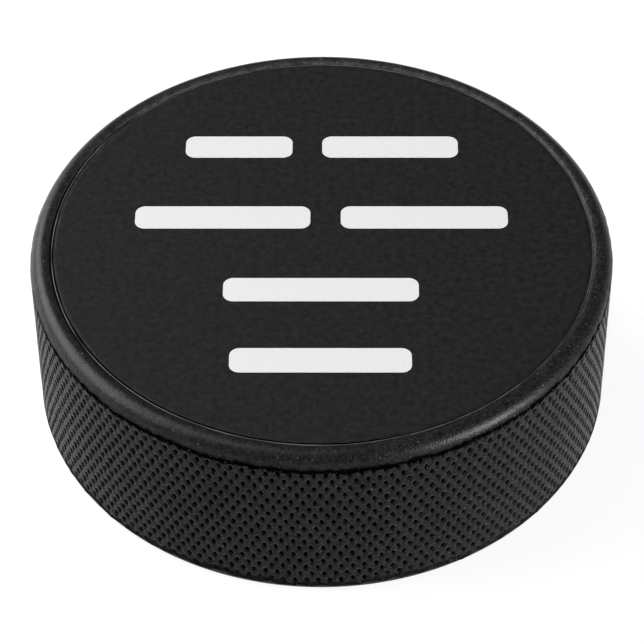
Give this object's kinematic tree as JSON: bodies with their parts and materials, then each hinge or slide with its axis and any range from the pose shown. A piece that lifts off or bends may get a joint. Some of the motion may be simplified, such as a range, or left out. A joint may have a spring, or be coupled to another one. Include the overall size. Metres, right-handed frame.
{
  "type": "ice hockey puck",
  "caption": "Flat rubber disc for ice hockey with rounded rim beads, a diamond-knurled edge band and a printed round label set in a shallow recess on top.",
  "frame": {"origin": "centre of the underside, on the plane the puck rests on", "axes": "+Z is the puck's axis, pointing up through the labelled face; -Y points to a reader of the label, so the rows of print run along +X"},
  "size_m": [0.0762, 0.0762, 0.0254],
  "materials": {
    "moulded_rubber": "satin black moulded rubber, diamond-knurled round the edge",
    "adhesive": "clear pressure-sensitive adhesive, hidden under the film",
    "label_film": "matte black film with a fine mottle",
    "white_ink": "matte opaque white ink"
  },
  "bodies": {
    "root": {"rubber_body": "moulded_rubber", "label_adhesive": "adhesive", "label_film": "label_film", "print_row_1": "white_ink", "print_row_2": "white_ink", "print_row_3": "white_ink", "print_row_4": "white_ink"}
  },
  "joints": []
}
